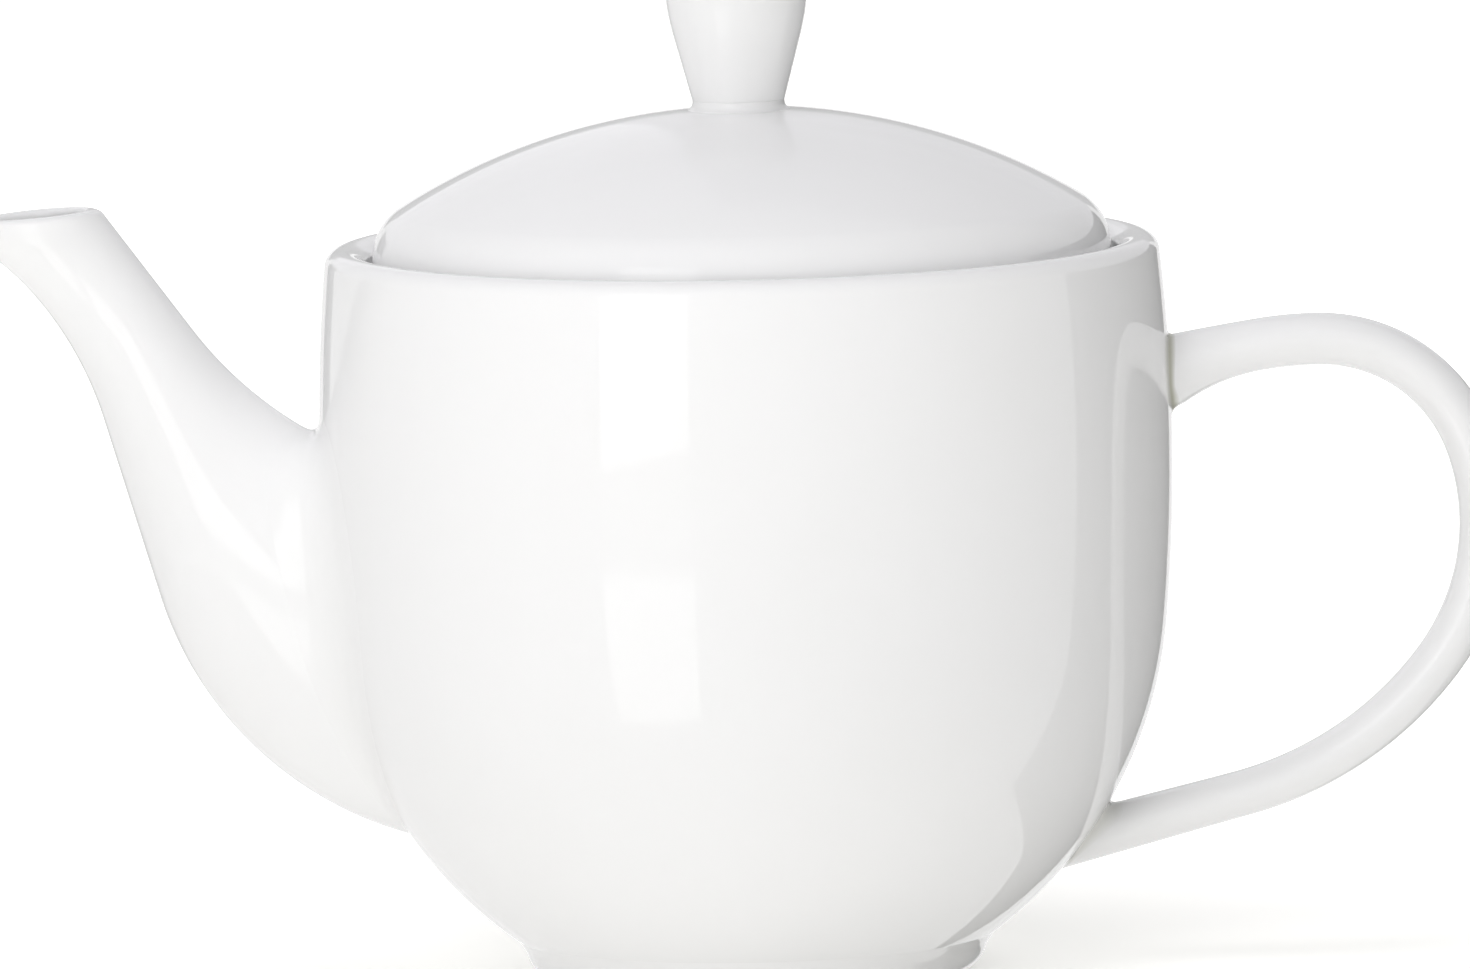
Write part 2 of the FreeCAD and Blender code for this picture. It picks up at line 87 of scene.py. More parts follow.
def out_to(centre, radius, up):
    """Distance from the axis to an arc at a height."""
    return centre[0] + math.sqrt(radius**2 - (up - centre[1]) ** 2)


def side_points(start, end, radius):
    """Points from start to just before end: straight, or on an arc to the left, or to the right
    if the radius is negative."""
    start, end = np.array(start), np.array(end)
    chord = end - start
    length = np.hypot(*chord)
    share = np.linspace(0, 1, max(2, int(length / DRAWN_STEP)), endpoint=False)[:, None]
    if not radius:
        return start + chord * share
    half = math.asin(length / 2 / abs(radius)) * np.sign(radius)
    left = np.array([-chord[1], chord[0]]) / length
    centre = (start + end) / 2 + left * (length / 2 / math.tan(half))
    spoke = start - centre
    turned = 2 * half * share
    across = np.array([-spoke[1], spoke[0]])
    return centre + spoke * np.cos(turned) + across * np.sin(turned)


def glazed_section(corners, closed=False, softness=GLAZE_SOFTNESS):
    """Half section through corners (out, up, arc radius), its edges softened as glaze does it."""
    last = len(corners) if closed else len(corners) - 1
    sides = [
        side_points(corners[i][:2], corners[(i + 1) % len(corners)][:2], (*corners[i], 0)[2])
        for i in range(last)
    ]
    line = np.concatenate(sides if closed else [*sides, [corners[-1][:2]]])
    lengths = np.hypot(*np.diff(line, axis=0, append=line[:1]).T)
    travelled = np.concatenate([[0], np.cumsum(lengths)])
    line = np.concatenate([line, line[:1]])
    total = travelled[-1] if closed else travelled[-2]
    even = np.linspace(0, total, int(total / EVEN_STEP), endpoint=not closed)
    line = np.stack([np.interp(even, travelled, line[:, i]) for i in (0, 1)], -1)
    reach = int(SOFTENED_REACH * softness / EVEN_STEP)
    weights = np.exp(-0.5 * (np.arange(-reach, reach + 1) * EVEN_STEP / softness) ** 2)
    weights /= weights.sum()
    if closed:
        before, after = line[-reach:], line[:reach]
    else:
        before, after = 2 * line[0] - line[reach:0:-1], 2 * line[-1] - line[-2:-reach - 2:-1]
    padded = np.concatenate([before, line, after])
    line = np.stack([np.convolve(padded[:, i], weights, "valid") for i in (0, 1)], -1)
    heading = np.unwrap(np.arctan2(*np.gradient(line, axis=0).T[::-1]))
    kept = [0]
    for i in range(1, len(line)):
        turned = abs(heading[i] - heading[kept[-1]])
        if turned > SHARPEST_TURN or (i - kept[-1]) * EVEN_STEP > LONGEST_SIDE:
            kept.append(i)
    if closed:
        kept.append(0)
    elif kept[-1] != len(line) - 1:
        kept.append(len(line) - 1)
    return line[kept]


def new_tree(name, kind, inputs, outputs):
    """A node tree with rows of sockets (name, kind, start value). Returns the tree, its input node
    and its sockets' identifiers by name."""
    tree = bpy.data.node_groups.new(name, kind)
    identifiers = {}
    for side, rows in (("INPUT", inputs), ("OUTPUT", outputs)):
        for label, socket_kind, *start in rows:
            socket = tree.interface.new_socket(
                label, in_out=side, socket_type="NodeSocket" + socket_kind
            )
            identifiers[label] = socket.identifier
            if start:
                socket.default_value = start[0]
    return tree, tree.nodes.new("NodeGroupInput"), identifiers


def add_node(tree, kind, fed, **settings):
    """A new node with its settings, its inputs fed by values or by other nodes' outputs."""
    node = tree.nodes.new(kind)
    for name, setting in settings.items():
        setattr(node, name, setting)
    for entry, source in fed.items():
        if isinstance(source, bpy.types.NodeSocket):
            tree.links.new(source, node.inputs[entry])
        else:
            node.inputs[entry].default_value = source
    return node


def worked(tree, operation, *sources):
    """The output of a math node."""
    node = add_node(tree, "ShaderNodeMath", dict(enumerate(sources)), operation=operation)
    return node.outputs[0]


def coated(tree, given, clay):
    """Ends a geometry tree: the clay made whole and given its glaze."""
    whole = add_node(tree, "GeometryNodeRealizeInstances", {"Geometry": clay})
    coat = add_node(
        tree,
        "GeometryNodeSetMaterial",
        {"Geometry": whole.outputs[0], "Material": given.outputs["Glaze"]},
    )
    add_node(tree, "NodeGroupOutput", {0: coat.outputs[0]})


def wheel_tree():
    """Turns a half section about the upright axis, as a profile tool shapes clay on a wheel."""
    tree, given, identifiers = new_tree(
        "turn_on_wheel",
        "GeometryNodeTree",
        [("Section", "Geometry"), ("Steps around", "Int"), ("Glaze", "Material")],
        [("Clay", "Geometry")],
    )
    section, around = given.outputs["Section"], given.outputs["Steps around"]
    points = add_node(tree, "GeometryNodeAttributeDomainSize", {0: section})
    columns = worked(tree, "ADD", around, 1)
    grid = add_node(
        tree,
        "GeometryNodeMeshGrid",
        {"Vertices X": points.outputs["Point Count"], "Vertices Y": columns},
    )
    index = tree.nodes.new("GeometryNodeInputIndex").outputs[0]
    middle = worked(tree, "ADD", index, 0.5)
    row = worked(tree, "FLOOR", worked(tree, "DIVIDE", middle, columns))
    column = worked(tree, "MODULO", index, columns)
    angle = worked(tree, "MULTIPLY", worked(tree, "DIVIDE", column, around), 2 * math.pi)
    place = tree.nodes.new("GeometryNodeInputPosition").outputs[0]
    sample = add_node(
        tree,
        "GeometryNodeSampleIndex",
        {"Geometry": section, "Value": place, "Index": row},
        data_type="FLOAT_VECTOR",
    )
    spin = add_node(
        tree,
        "ShaderNodeVectorRotate",
        {"Vector": sample.outputs[0], "Angle": angle},
        rotation_type="Z_AXIS",
    )
    shape = add_node(
        tree,
        "GeometryNodeSetPosition",
        {"Geometry": grid.outputs["Mesh"], "Position": spin.outputs[0]},
    )
    close = add_node(
        tree,
        "GeometryNodeMergeByDistance",
        {"Geometry": shape.outputs[0], "Distance": SEAM_CLOSES},
    )
    smooth = add_node(tree, "GeometryNodeSetShadeSmooth", {"Geometry": close.outputs[0]})
    coated(tree, given, smooth.outputs[0])
    return tree, identifiers


def piercing_tree():
    """Cuts round holes through a wall, in rows that are half a pitch aside by turns."""
    tree, given, identifiers = new_tree(
        "pierce_wall",
        "GeometryNodeTree",
        [
            ("Clay", "Geometry"),
            ("Hole radius", "Float"),
            ("Depth", "Float"),
            ("Half pitch", "Float"),
            ("Row pitch", "Float"),
            ("Columns", "Int"),
            ("Rows", "Int"),
            ("Aside first", "Float"),
            ("Middle", "Vector"),
            ("Turn", "Vector"),
            ("Glaze", "Material"),
        ],
        [("Pierced", "Geometry")],
    )
    columns, rows = given.outputs["Columns"], given.outputs["Rows"]
    half_pitch, row_pitch = given.outputs["Half pitch"], given.outputs["Row pitch"]
    grid = add_node(
        tree,
        "GeometryNodeMeshGrid",
        {
            "Vertices X": columns,
            "Vertices Y": rows,
            "Size X": worked(tree, "MULTIPLY", worked(tree, "SUBTRACT", columns, 1), half_pitch),
            "Size Y": worked(tree, "MULTIPLY", worked(tree, "SUBTRACT", rows, 1), row_pitch),
        },
    )
    index = tree.nodes.new("GeometryNodeInputIndex").outputs[0]
    middle = worked(tree, "ADD", index, 0.5)
    column = worked(tree, "FLOOR", worked(tree, "DIVIDE", middle, rows))
    row = worked(tree, "MODULO", index, rows)
    place = worked(tree, "ADD", worked(tree, "ADD", row, column), given.outputs["Aside first"])
    odd = worked(tree, "GREATER_THAN", worked(tree, "MODULO", place, 2), 0.5)
    spare = add_node(
        tree,
        "GeometryNodeDeleteGeometry",
        {"Geometry": grid.outputs["Mesh"], "Selection": odd},
    )
    points = add_node(tree, "GeometryNodeMeshToPoints", {"Mesh": spare.outputs[0]})
    drill = add_node(
        tree,
        "GeometryNodeMeshCylinder",
        {
            "Vertices": HOLE_STEPS,
            "Radius": given.outputs["Hole radius"],
            "Depth": given.outputs["Depth"],
        },
    )
    drills = add_node(
        tree,
        "GeometryNodeInstanceOnPoints",
        {"Points": points.outputs[0], "Instance": drill.outputs["Mesh"]},
    )
    aim = add_node(
        tree,
        "GeometryNodeTransform",
        {
            "Geometry": drills.outputs[0],
            "Translation": given.outputs["Middle"],
            "Rotation": given.outputs["Turn"],
        },
    )
    solid_drills = add_node(tree, "GeometryNodeRealizeInstances", {"Geometry": aim.outputs[0]})
    cut = add_node(
        tree,
        "GeometryNodeMeshBoolean",
        {"Mesh 1": given.outputs["Clay"], "Mesh 2": solid_drills.outputs[0]},
        operation="DIFFERENCE",
    )
    smooth = add_node(tree, "GeometryNodeSetShadeSmooth", {"Geometry": cut.outputs["Mesh"]})
    bend = tree.nodes.new("GeometryNodeInputMeshEdgeAngle").outputs["Unsigned Angle"]
    crisp = add_node(
        tree,
        "GeometryNodeSetShadeSmooth",
        {
            "Geometry": smooth.outputs[0],
            "Selection": worked(tree, "GREATER_THAN", bend, CRISP_EDGE),
            "Shade Smooth": False,
        },
        domain="EDGE",
    )
    coated(tree, given, crisp.outputs[0])
    return tree, identifiers


def glaze_group():
    """Clear glaze on porcelain: slow ripples, fine dimples and a warmer, darker tone where it is
    thick. The thick tone also serves as painted shade in the seams' hollows.
    """
    group, given, _ = new_tree(
        "clear_glaze",
        "ShaderNodeTree",
        [
            ("Body", "Color", (0.86, 0.86, 0.86, 1)),
            # This dark tone gives random thick patches, and painted shade in the seams' hollows.
            ("Thick glaze", "Color", (0.47, 0.47, 0.39, 1)),
            ("Thickness", "Float", 0.0),
            ("Ripple size", "Float", 0.03),
            ("Gloss roughness", "Float", 0.02),
        ],
        [("Colour", "Color"), ("Roughness", "Float"), ("Height", "Float")],
    )
    place = group.nodes.new("ShaderNodeTexCoord").outputs["Object"]

    def noise(scale, detail):
        fed = {"Vector": place, "Scale": scale, "Detail": detail}
        return add_node(group, "ShaderNodeTexNoise", fed).outputs["Fac"]

    def mixed_in(first, share, second):
        return worked(group, "MULTIPLY_ADD", first, share, second)

    ripple = noise(worked(group, "DIVIDE", 1.0, given.outputs["Ripple size"]), 1.0)
    dimple = noise(DIMPLE_SCALE, 2.0)
    cloud = noise(CLOUD_SCALE, 2.0)
    patch = worked(group, "SUBTRACT", cloud, 0.5)
    uneven_and_shaded = mixed_in(patch, CLOUD_THICKNESS, given.outputs["Thickness"])
    tone = add_node(
        group,
        "ShaderNodeMix",
        {
            "Factor": worked(group, "MAXIMUM", uneven_and_shaded, 0.0),
            "A": given.outputs["Body"],
            "B": given.outputs["Thick glaze"],
        },
        data_type="RGBA",
    )
    add_node(
        group,
        "NodeGroupOutput",
        {
            "Colour": tone.outputs["Result"],
            "Roughness": mixed_in(cloud, CLOUD_ROUGHNESS, given.outputs["Gloss roughness"]),
            "Height": mixed_in(dimple, DIMPLE_SHARE, ripple),
        },
    )
    return group


def glazed_material(name):
    """Porcelain under clear glaze. Returns the material and its glaze group's node."""
    material = bpy.data.materials.new(name)
    material.use_nodes = True
    tree = material.node_tree
    # The attribute sets thicker glaze, and painted shade in the seams' hollows.
    thickness = tree.nodes.new("ShaderNodeAttribute")
    thickness.attribute_name = "glaze_pool_and_shade"
    glaze = tree.nodes.new("ShaderNodeGroup")
    glaze.node_tree = clear_glaze
    tree.links.new(thickness.outputs["Fac"], glaze.inputs["Thickness"])
    bump = add_node(
        tree,
        "ShaderNodeBump",
        {"Strength": 1.0, "Distance": RIPPLE_DEPTH * MM, "Height": glaze.outputs["Height"]},
    )
    shader = tree.nodes["Principled BSDF"]
    shader.inputs["IOR"].default_value = GLAZE_IOR
    tree.links.new(glaze.outputs["Colour"], shader.inputs["Base Color"])
    tree.links.new(glaze.outputs["Roughness"], shader.inputs["Roughness"])
    tree.links.new(bump.outputs["Normal"], shader.inputs["Normal"])
    return material, glaze


def face_outwards(mesh):
    """Turns all faces outwards."""
    work = bmesh.new()
    work.from_mesh(mesh)
    bmesh.ops.recalc_face_normals(work, faces=work.faces)
    work.to_mesh(mesh)
    work.free()


def settled(form, material):
    """The object with its evaluated mesh as a plain mesh, of one material."""
    bpy.context.view_layer.update()
    seen = form.evaluated_get(bpy.context.evaluated_depsgraph_get())
    mesh = bpy.data.meshes.new_from_object(seen)
    form.modifiers.clear()
    form.data = mesh
    mesh.materials.clear()
    mesh.materials.append(material)
    mesh.polygons.foreach_set("material_index", np.zeros(len(mesh.polygons), np.int32))
    face_outwards(mesh)
    return form


def turned_piece(name, section, material, around=STEPS_AROUND):
    """A piece turned from its half section."""
    wire = bpy.data.meshes.new(name)
    points = [(out * MM, 0, up * MM) for out, up in section]
    wire.from_pydata(points, [(i, i + 1) for i in range(len(points) - 1)], [])
    form = bpy.data.objects.new(name, wire)
    bpy.context.scene.collection.objects.link(form)
    turning = form.modifiers.new("turning", "NODES")
    turning.node_group = turn_on_wheel
    turning[wheel_sockets["Steps around"]] = around
    turning[wheel_sockets["Glaze"]] = material
    return settled(form, material)


def pierced(form, material, **sizes):
    """The piece with its holes cut."""
    piercing = form.modifiers.new("piercing", "NODES")
    piercing.node_group = pierce_wall
    piercing[pierce_sockets["Glaze"]] = material
    for name, size in sizes.items():
        piercing[pierce_sockets[name.replace("_", " ").capitalize()]] = size
    return settled(form, material)


turn_on_wheel, wheel_sockets = wheel_tree()
pierce_wall, pierce_sockets = piercing_tree()
clear_glaze = glaze_group()
white_glaze, _ = glazed_material("white_glaze")

foot_edge = out_to(bowl_centre, BOWL_RADIUS, foot_height)
rim_start = pot_height - RIM_ROUND
rim_edge = out_to(bow_centre, BOW_RADIUS, rim_start)
rim_crest = rim_edge - RIM_ROUND
gallery_radius = rim_crest - RIM_ROLL_WIDTH
ledge_height = pot_height - LEDGE_DEPTH
neck_radius = gallery_radius - LEDGE_WIDTH
neck_base = ledge_height - LEDGE_THICKNESS
inner_top = neck_base - NECK_SLOPE
floor_height = foot_height + FLOOR_THICKNESS
roll_radius = (RIM_ROLL_WIDTH**2 + RIM_DROP**2) / (2 * RIM_DROP)
inner_foot = bow_centre + (BOW_RADIUS - WALL) * towards_foot
bowl = turned_piece(
    "bowl",
    glazed_section(
        [
            (0, foot_height),
            (foot_edge, foot_height, BOWL_RADIUS),
            (*wall_foot, BOW_RADIUS),
            (rim_edge, rim_start, RIM_ROUND),
            (rim_crest, pot_height, roll_radius),
            (gallery_radius, pot_height - RIM_DROP),
            (gallery_radius, ledge_height),
            (neck_radius, ledge_height),
            (neck_radius, neck_base),
            (out_to(bow_centre, BOW_RADIUS - WALL, inner_top), inner_top, WALL - BOW_RADIUS),
            (*inner_foot, WALL - BOWL_RADIUS),
            (out_to(bowl_centre, BOWL_RADIUS - WALL, floor_height), floor_height),
            (0, floor_height),
        ]
    ),
    white_glaze,
)

# Strainer. Seventeen holes pierced through the leather-hard wall behind the spout, in rows of two
# and three by turns. They hold the leaves back when the pot is poured.
STRAINER_HOLE = 5.0
STRAINER_PITCH = 8.5
STRAINER_HEIGHT = 54.0
STRAINER_DEPTH = 24.0
pierced(
    bowl,
    white_glaze,
    hole_radius=STRAINER_HOLE / 2 * MM,
    depth=STRAINER_DEPTH * MM,
    half_pitch=STRAINER_PITCH / 2 * MM,
    row_pitch=STRAINER_PITCH * math.sqrt(3) / 2 * MM,
    columns=5,
    rows=7,
    aside_first=1.0,
    middle=(-pot_radius * MM, 0, STRAINER_HEIGHT * MM),
    turn=(math.pi / 2, 0, math.pi / 2),
)
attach(bowl, "pot")
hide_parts("pot_bowl")

# Foot ring. A low porcelain ring under the bowl, drawn in towards the table, with glaze run into
# the corner above it. Its tread is wiped clean of glaze, so that it doesn't stick to the kiln's
# shelf.
FOOT_TAPER = 3.5
FOOT_TREAD = 2.0
FOOT_WIDTH = 5.6
FOOT_ROUND = 5.0
FOOT_OVERLAP = 0.1
FOOT_SOFTNESS = 0.15
CORNER_RADIUS = 11.0
CORNER_IN = 0.7
CORNER_DOWN = 1.7
CORNER_UP = 1.6
CORNER_BACK = 1.0
CORNER_SINK = 0.15
WIPED_BELOW = 0.25
GLAZED_ABOVE = 0.55
BARE_CLAY = (0.72, 0.70, 0.66, 1)
BARE_ROUGHNESS = 0.75
tread_edge = foot_edge - FOOT_TAPER
corner_top = foot_height + CORNER_UP
foot_glaze, foot_coat = glazed_material("foot_glaze")
foot = turned_piece(
    "foot",
    glazed_section(
        [
            (tread_edge - FOOT_TREAD, 0),
            (tread_edge, 0, FOOT_ROUND),
            (foot_edge - CORNER_IN, foot_height - CORNER_DOWN, -CORNER_RADIUS),
            (out_to(bowl_centre, BOWL_RADIUS - CORNER_SINK, corner_top), corner_top),
            (foot_edge - CORNER_BACK, corner_top),
            (foot_edge - FOOT_WIDTH, foot_height + FOOT_OVERLAP),
        ],
        closed=True,
        softness=FOOT_SOFTNESS,
    ),
    foot_glaze,
)
foot_tree = foot_glaze.node_tree
foot_place = foot_tree.nodes.new("ShaderNodeTexCoord").outputs["Object"]
foot_up = add_node(foot_tree, "ShaderNodeSeparateXYZ", {0: foot_place}).outputs["Z"]
glazed_share = add_node(
    foot_tree,
    "ShaderNodeMapRange",
    {"Value": foot_up, "From Min": WIPED_BELOW * MM, "From Max": GLAZED_ABOVE * MM},
).outputs["Result"]
for kind, bare, coat, entry in (
    ("RGBA", BARE_CLAY, "Colour", "Base Color"),
    ("FLOAT", BARE_ROUGHNESS, "Roughness", "Roughness"),
):
    blend = add_node(
        foot_tree,
        "ShaderNodeMix",
        {"Factor": glazed_share, "A": bare, "B": foot_coat.outputs[coat]},
        data_type=kind,
    )
    foot_shader = foot_tree.nodes["Principled BSDF"]
    foot_tree.links.new(blend.outputs["Result"], foot_shader.inputs[entry])
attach(foot, "pot")
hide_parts("foot_ring")

# Spout. Cast hollow in a mould: oval sections run from a tall root up to a narrow lip with a beak.
# It is luted to the wall with slip, which is wiped to a broad hollow at the sides and a tight one
# above and below.
SPOUT_STEPS = 128
SPOUT_WALL = 2.8
SPOUT_ROOT_WIDTH = 36.0
SPOUT_TIP_WIDTH = 16.6
SPOUT_TIP_SHARE = 0.88
SPOUT_LEAD = 0.2
SPOUT_SPAN = (-0.14, 1.0)
SKIN_ROWS, OUTER_ROWS, INNER_ROWS, LIP_ROWS = 900, 120, 60, 16
LIP_ROLL = 1.5
LOW_ROOT = (54.5, 22.9)
LOW_HEADING = 15.6
LOW_LEGS = [(58.3, 58.2), (30.0, 0.0), (22.1, -22.6), (9.0, -12.0), (2.0, 0.0), (4.6, 52.0)]
BACK_ROOT = (67.5, 87.0)
BACK_HEADING = 28.4
BACK_LEGS = [(27.2, 25.4), (23.6, 0.0)]
LINE_SPARE = 30.0
LINE_STEPS = 6000
LINE_EASE = 60
CRISP_FOLD = math.radians(50)
SPOUT_HOLLOWS = {"above": 2.2, "beside": 15.0, "below": 1.4}
# A faint darker tone in the slip's hollow: thicker glaze and painted shade.
SPOUT_POOL_AND_SHADE = 0.04
SLIP_EASE = 0.8
SLIP_STEPS = 20
SLIP_TUCK = 0.3
SLIP_TUCKED = (0.2, 0.4, 0.6, 0.8, 0.95)
SLIP_SINK = 0.004


def bent_line(start, heading, legs):
    """A smooth line through start that turns in legs of (length, turn): a function of the length
    along it, and its whole length."""
    knots = np.cumsum([0.0] + [length for length, turn in legs])
    headings = np.radians(heading + np.cumsum([0.0] + [turn for length, turn in legs]))
    lengths = np.linspace(-LINE_SPARE, knots[-1] + LINE_SPARE, LINE_STEPS)
    facing = np.interp(lengths, knots, headings)
    spread = np.hanning(2 * LINE_EASE + 1)
    padded = np.pad(facing, LINE_EASE, mode="edge")
    facing = np.convolve(padded, spread / spread.sum(), "valid")
    steps = np.diff(lengths)[:, None] * np.stack([np.cos(facing), np.sin(facing)], -1)[:-1]
    line = np.concatenate([[[0.0, 0.0]], np.cumsum(steps, axis=0)])
    line += np.array(start) - [np.interp(0, lengths, line[:, i]) for i in (0, 1)]

    def place_at(length):
        return np.stack([np.interp(length, lengths, line[:, i]) for i in (0, 1)], -1)

    return place_at, knots[-1]


low_line, low_length = bent_line(LOW_ROOT, LOW_HEADING, LOW_LEGS)
back_line, back_length = bent_line(BACK_ROOT, BACK_HEADING, BACK_LEGS)


def spout_section(share):
    """Middle, direction and span of the spout's sections at shares of the way up."""
    low = low_line(low_length * share)
    back = back_line(back_length * (share + SPOUT_LEAD * share * (1 - share)))
    across = back - low
    span = np.hypot(*across.T)
    return (low + back) / 2, across / span[:, None], span


root_span, tip_span = spout_section(np.array([0.0, SPOUT_TIP_SHARE]))[2]


def spout_skin(share, angles, inset):
    """The spout's outer skin, or a skin inset from it, as rows up and columns round."""
    middle, direction, span = spout_section(share)
    flare = (span - tip_span) / (root_span - tip_span)
    width = SPOUT_TIP_WIDTH + (SPOUT_ROOT_WIDTH - SPOUT_TIP_WIDTH) * flare
    along = (span / 2 - inset)[:, None] * np.cos(angles)
    aside = (width / 2 - inset)[:, None] * np.sin(angles)
    out = middle[:, :1] + direction[:, :1] * along
    up = middle[:, 1:] + direction[:, 1:] * along
    return np.stack([-out, aside, up], -1)


def unit(ways):
    """The ways at a length of one."""
    return ways / np.linalg.norm(ways, axis=-1, keepdims=True)


def skin_normals(skin):
    """Unit normals of a skin of rows and closed columns, away from its middle."""
    along = np.gradient(skin, axis=0)
    around = (np.roll(skin, -1, axis=1) - np.roll(skin, 1, axis=1)) / 2
    normals = unit(np.cross(along, around))
    middle = skin.mean(axis=1, keepdims=True)
    outward = np.sign(((skin - middle) * normals).sum(-1, keepdims=True).mean())
    return normals * outward


def bowl_gap(points):
    """Distance from the bowl's outer face, and the face's outward normal there."""
    out = np.hypot(points[..., 0], points[..., 1])
    up = points[..., 2]
    lower = (up - bowl_centre[1]) * towards_foot[0] < (out - bowl_centre[0]) * towards_foot[1]
    centre_out = np.where(lower, bowl_centre[0], bow_centre[0])
    centre_up = np.where(lower, bowl_centre[1], bow_centre[1])
    reach = np.hypot(out - centre_out, up - centre_up)
    lean = (out - centre_out) / reach / out
    normal = np.stack([points[..., 0] * lean, points[..., 1] * lean, (up - centre_up) / reach], -1)
    return reach - np.where(lower, BOWL_RADIUS, BOW_RADIUS), normal


def last_crossing(values):
    """Row position, for each column, of the last change from below nought to above it."""
    rises = (values[:-1] < 0) & (values[1:] >= 0)
    row = len(values) - 2 - np.argmax(rises[::-1], axis=0)
    column = np.arange(values.shape[1])
    below, above = values[row, column], values[row + 1, column]
    return row + below / (below - above)


def at_rows(grid, rows):
    """The grid's points at fractional rows, one for each column."""
    row = np.clip(np.floor(rows).astype(int), 0, len(grid) - 2)
    column = np.arange(grid.shape[1])
    share = (rows - row)[:, None]
    return grid[row, column] * (1 - share) + grid[row + 1, column] * share


def between(grid, start, end, count):
    """Rows of the grid's points, spaced evenly from one set of fractional rows to another."""
    return [at_rows(grid, start + (end - start) * share) for share in np.linspace(0, 1, count)]


def eased(legs, count):
    """Rows on the cubic curve from the first of four rows to the last."""
    rows = []
    for share in np.linspace(0, 1, count):
        rest = 1 - share
        weights = (rest**3, 3 * share * rest**2, 3 * share**2 * rest, share**3)
        rows.append(sum(weight * leg for weight, leg in zip(weights, legs)))
    return rows


def slip_seam(skin, hollow):
    """The slip between a skin and the bowl, wiped to a hollow that runs out softly on both: it
    starts and ends where a ball of the hollow's radius would touch, and its back is tucked under
    the skin. Returns its rows, and where the skin meets the bowl."""
    normals = skin_normals(skin)
    centres = skin + normals * hollow[:, None]
    touch = last_crossing(bowl_gap(centres)[0] - hollow)
    root = last_crossing(bowl_gap(skin)[0])
    centre = at_rows(centres, touch)
    from_skin = unit(at_rows(skin, touch) - centre)
    from_bowl = -bowl_gap(centre)[1]
    meeting = (from_skin + from_bowl) / (1 + (from_skin * from_bowl).sum(-1, keepdims=True))
    legs = [from_skin, from_skin + SLIP_EASE * (meeting - from_skin)]
    legs += [from_bowl + SLIP_EASE * (meeting - from_bowl), from_bowl]
    reach = hollow[:, None]
    rows = [centre + reach * row for row in eased(legs, SLIP_STEPS)]
    rows[0] = rows[0] + from_skin * reach * SLIP_SINK
    rows[-1] = rows[-1] + from_bowl * reach * SLIP_SINK
    corner = at_rows(skin, root)
    rows.append(corner - bowl_gap(corner)[1] * SLIP_TUCK)
    tucked = skin - normals * SLIP_TUCK
    rows += [at_rows(tucked, root + (touch - root) * share) for share in SLIP_TUCKED]
    return np.array(rows), root


def woven_mesh(name, rows, material, ends_meet, thickness=None, caps=False):
    """A mesh from rows of points with closed columns."""
    count, around = rows.shape[:2]
    index = np.arange(count * around).reshape(count, around)
    below = index if ends_meet else index[:-1]
    above = np.roll(index, -1, axis=0) if ends_meet else index[1:]
    faces = np.stack([below, np.roll(below, -1, 1), np.roll(above, -1, 1), above], -1)
    faces = faces.reshape(-1, 4).tolist()
    points = (rows.reshape(-1, 3) * MM).tolist()
    if caps:
        for ring in (index[0], index[-1]):
            middle = len(points)
            points.append((rows.reshape(-1, 3)[ring].mean(0) * MM).tolist())
            faces += [[middle, ring[i], ring[(i + 1) % around]] for i in range(around)]
    mesh = bpy.data.meshes.new(name)
    mesh.from_pydata(points, [], faces)
    face_outwards(mesh)
    mesh.shade_smooth()
    mesh.set_sharp_from_angle(angle=CRISP_FOLD)
    # The seams carry thicker glaze and painted shade in their hollows.
    if thickness is not None:
        spread = np.zeros(len(points), np.float32)
        spread[: count * around] = thickness.reshape(-1)
        coat = mesh.attributes.new("glaze_pool_and_shade", "FLOAT", "POINT")
        coat.data.foreach_set("value", spread)
    mesh.materials.append(material)
    form = bpy.data.objects.new(name, mesh)
    bpy.context.scene.collection.objects.link(form)
    return form


def pooled_and_shaded(rows, most):
    """Glaze thickness across a seam's rows: most in its hollow, and none at its edges. In the
    hollow it also sets painted shade.
    """
    share = np.clip(np.arange(len(rows)) / (SLIP_STEPS - 1), 0, 1)
    return np.repeat(most * np.sin(math.pi * share)[:, None], rows.shape[1], axis=1)


def hollow_round(angles, hollows):
    """Radius of the slip's hollow round a root: above it, beside it and below it."""
    end = np.where(np.cos(angles) > 0, hollows["above"], hollows["below"])
    return hollows["beside"] * np.sin(angles) ** 2 + end * np.cos(angles) ** 2


angles = np.linspace(0, 2 * math.pi, SPOUT_STEPS, endpoint=False)
spout_shares = np.linspace(*SPOUT_SPAN, SKIN_ROWS)
outer_skin = spout_skin(spout_shares, angles, 0.0)
inner_skin = spout_skin(spout_shares, angles, SPOUT_WALL)
seam_rows, outer_root = slip_seam(outer_skin, hollow_round(angles, SPOUT_HOLLOWS))
inner_root = last_crossing(bowl_gap(inner_skin)[0])
outer_rows = between(outer_skin, outer_root, SKIN_ROWS - 1, OUTER_ROWS)
inner_rows = between(inner_skin, SKIN_ROWS - 1, inner_root, INNER_ROWS)
lip_legs = [outer_rows[-1], outer_rows[-1] + LIP_ROLL * unit(outer_rows[-1] - outer_rows[-2])]
lip_legs += [inner_rows[0] + LIP_ROLL * unit(inner_rows[0] - inner_rows[1]), inner_rows[0]]
spout_rows = outer_rows + eased(lip_legs, LIP_ROWS)[1:-1] + inner_rows
spout_tube = woven_mesh("spout_tube", np.array(spout_rows), white_glaze, ends_meet=True)
spout_slip = woven_mesh("spout_slip", seam_rows, white_glaze, True, pooled_and_shaded(seam_rows, SPOUT_POOL_AND_SHADE))
for piece, node in ((spout_tube, "spout"), (spout_slip, "spout_seam")):
    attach(piece, "pot")
    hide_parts(node)
